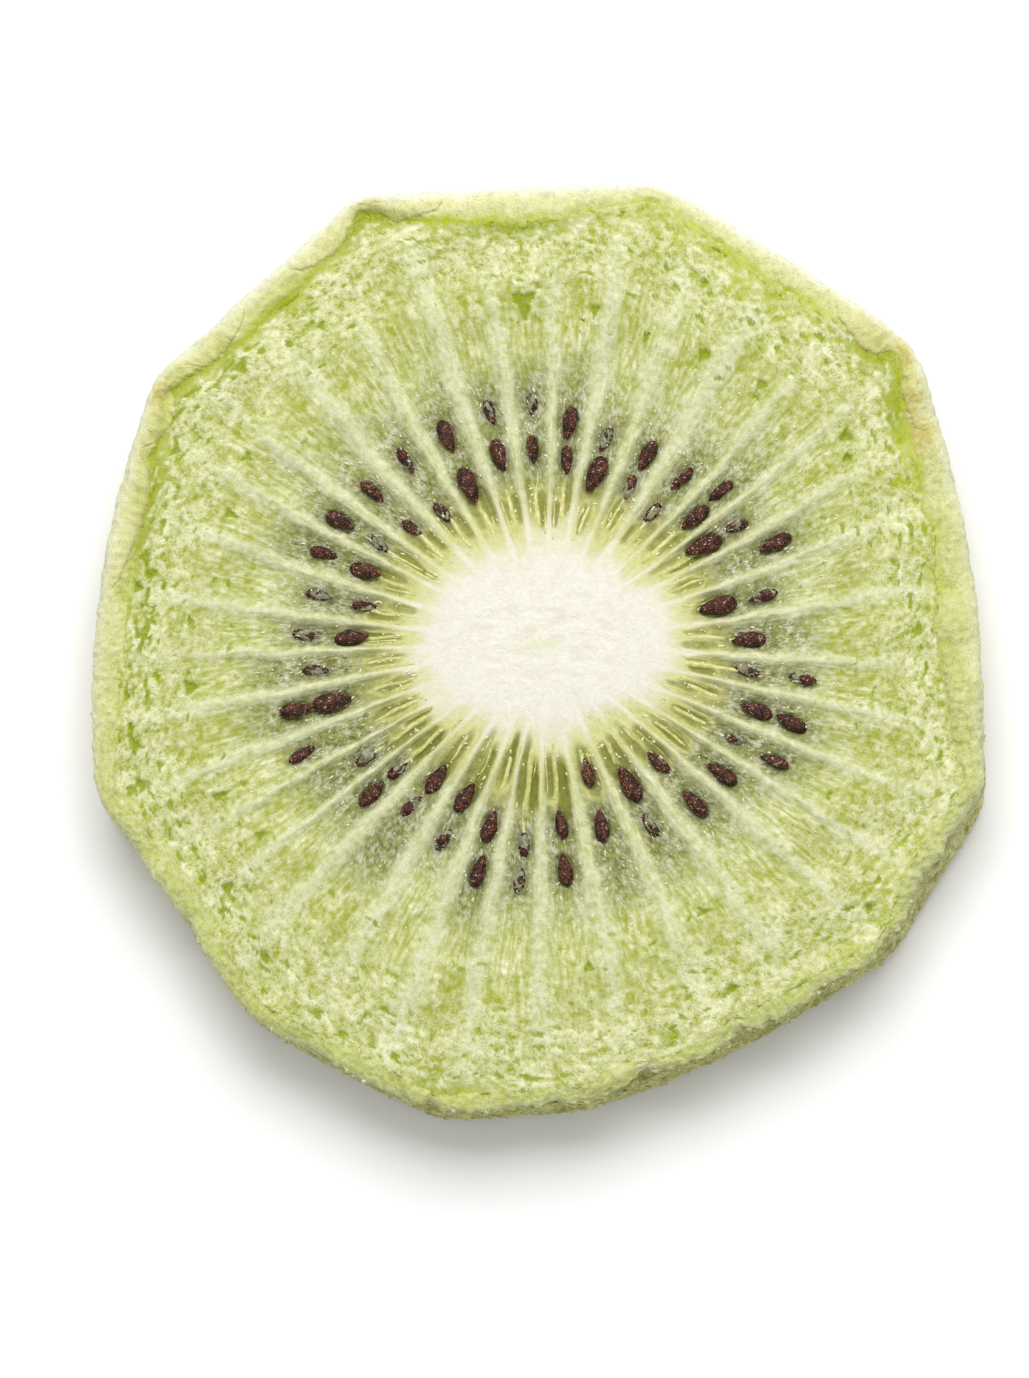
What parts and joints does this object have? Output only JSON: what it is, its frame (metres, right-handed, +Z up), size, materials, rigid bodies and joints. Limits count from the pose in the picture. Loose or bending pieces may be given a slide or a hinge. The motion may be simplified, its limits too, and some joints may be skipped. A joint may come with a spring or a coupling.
{
  "type": "freeze-dried kiwi slice",
  "caption": "One round cut slice of freeze-dried kiwi with a pale oval core, raised rays, dark seeds fused to both faces and a folded-in rim.",
  "frame": {"origin": "middle of the slice's box, on the flat foot of the core that it lies on", "axes": "+Z up through the slice, the short way; +X along the long way of the oval core, and +Y towards the side that is at the top of the picture"},
  "size_m": [0.0484, 0.0508, 0.006],
  "materials": {
    "dried_flesh": "dry, porous pale green fruit flesh with a cream core, matte",
    "seed_coat": "dark maroon, finely pitted, satin"
  },
  "bodies": {
    "root": {"kiwi_slice": "dried_flesh"}
  },
  "joints": []
}
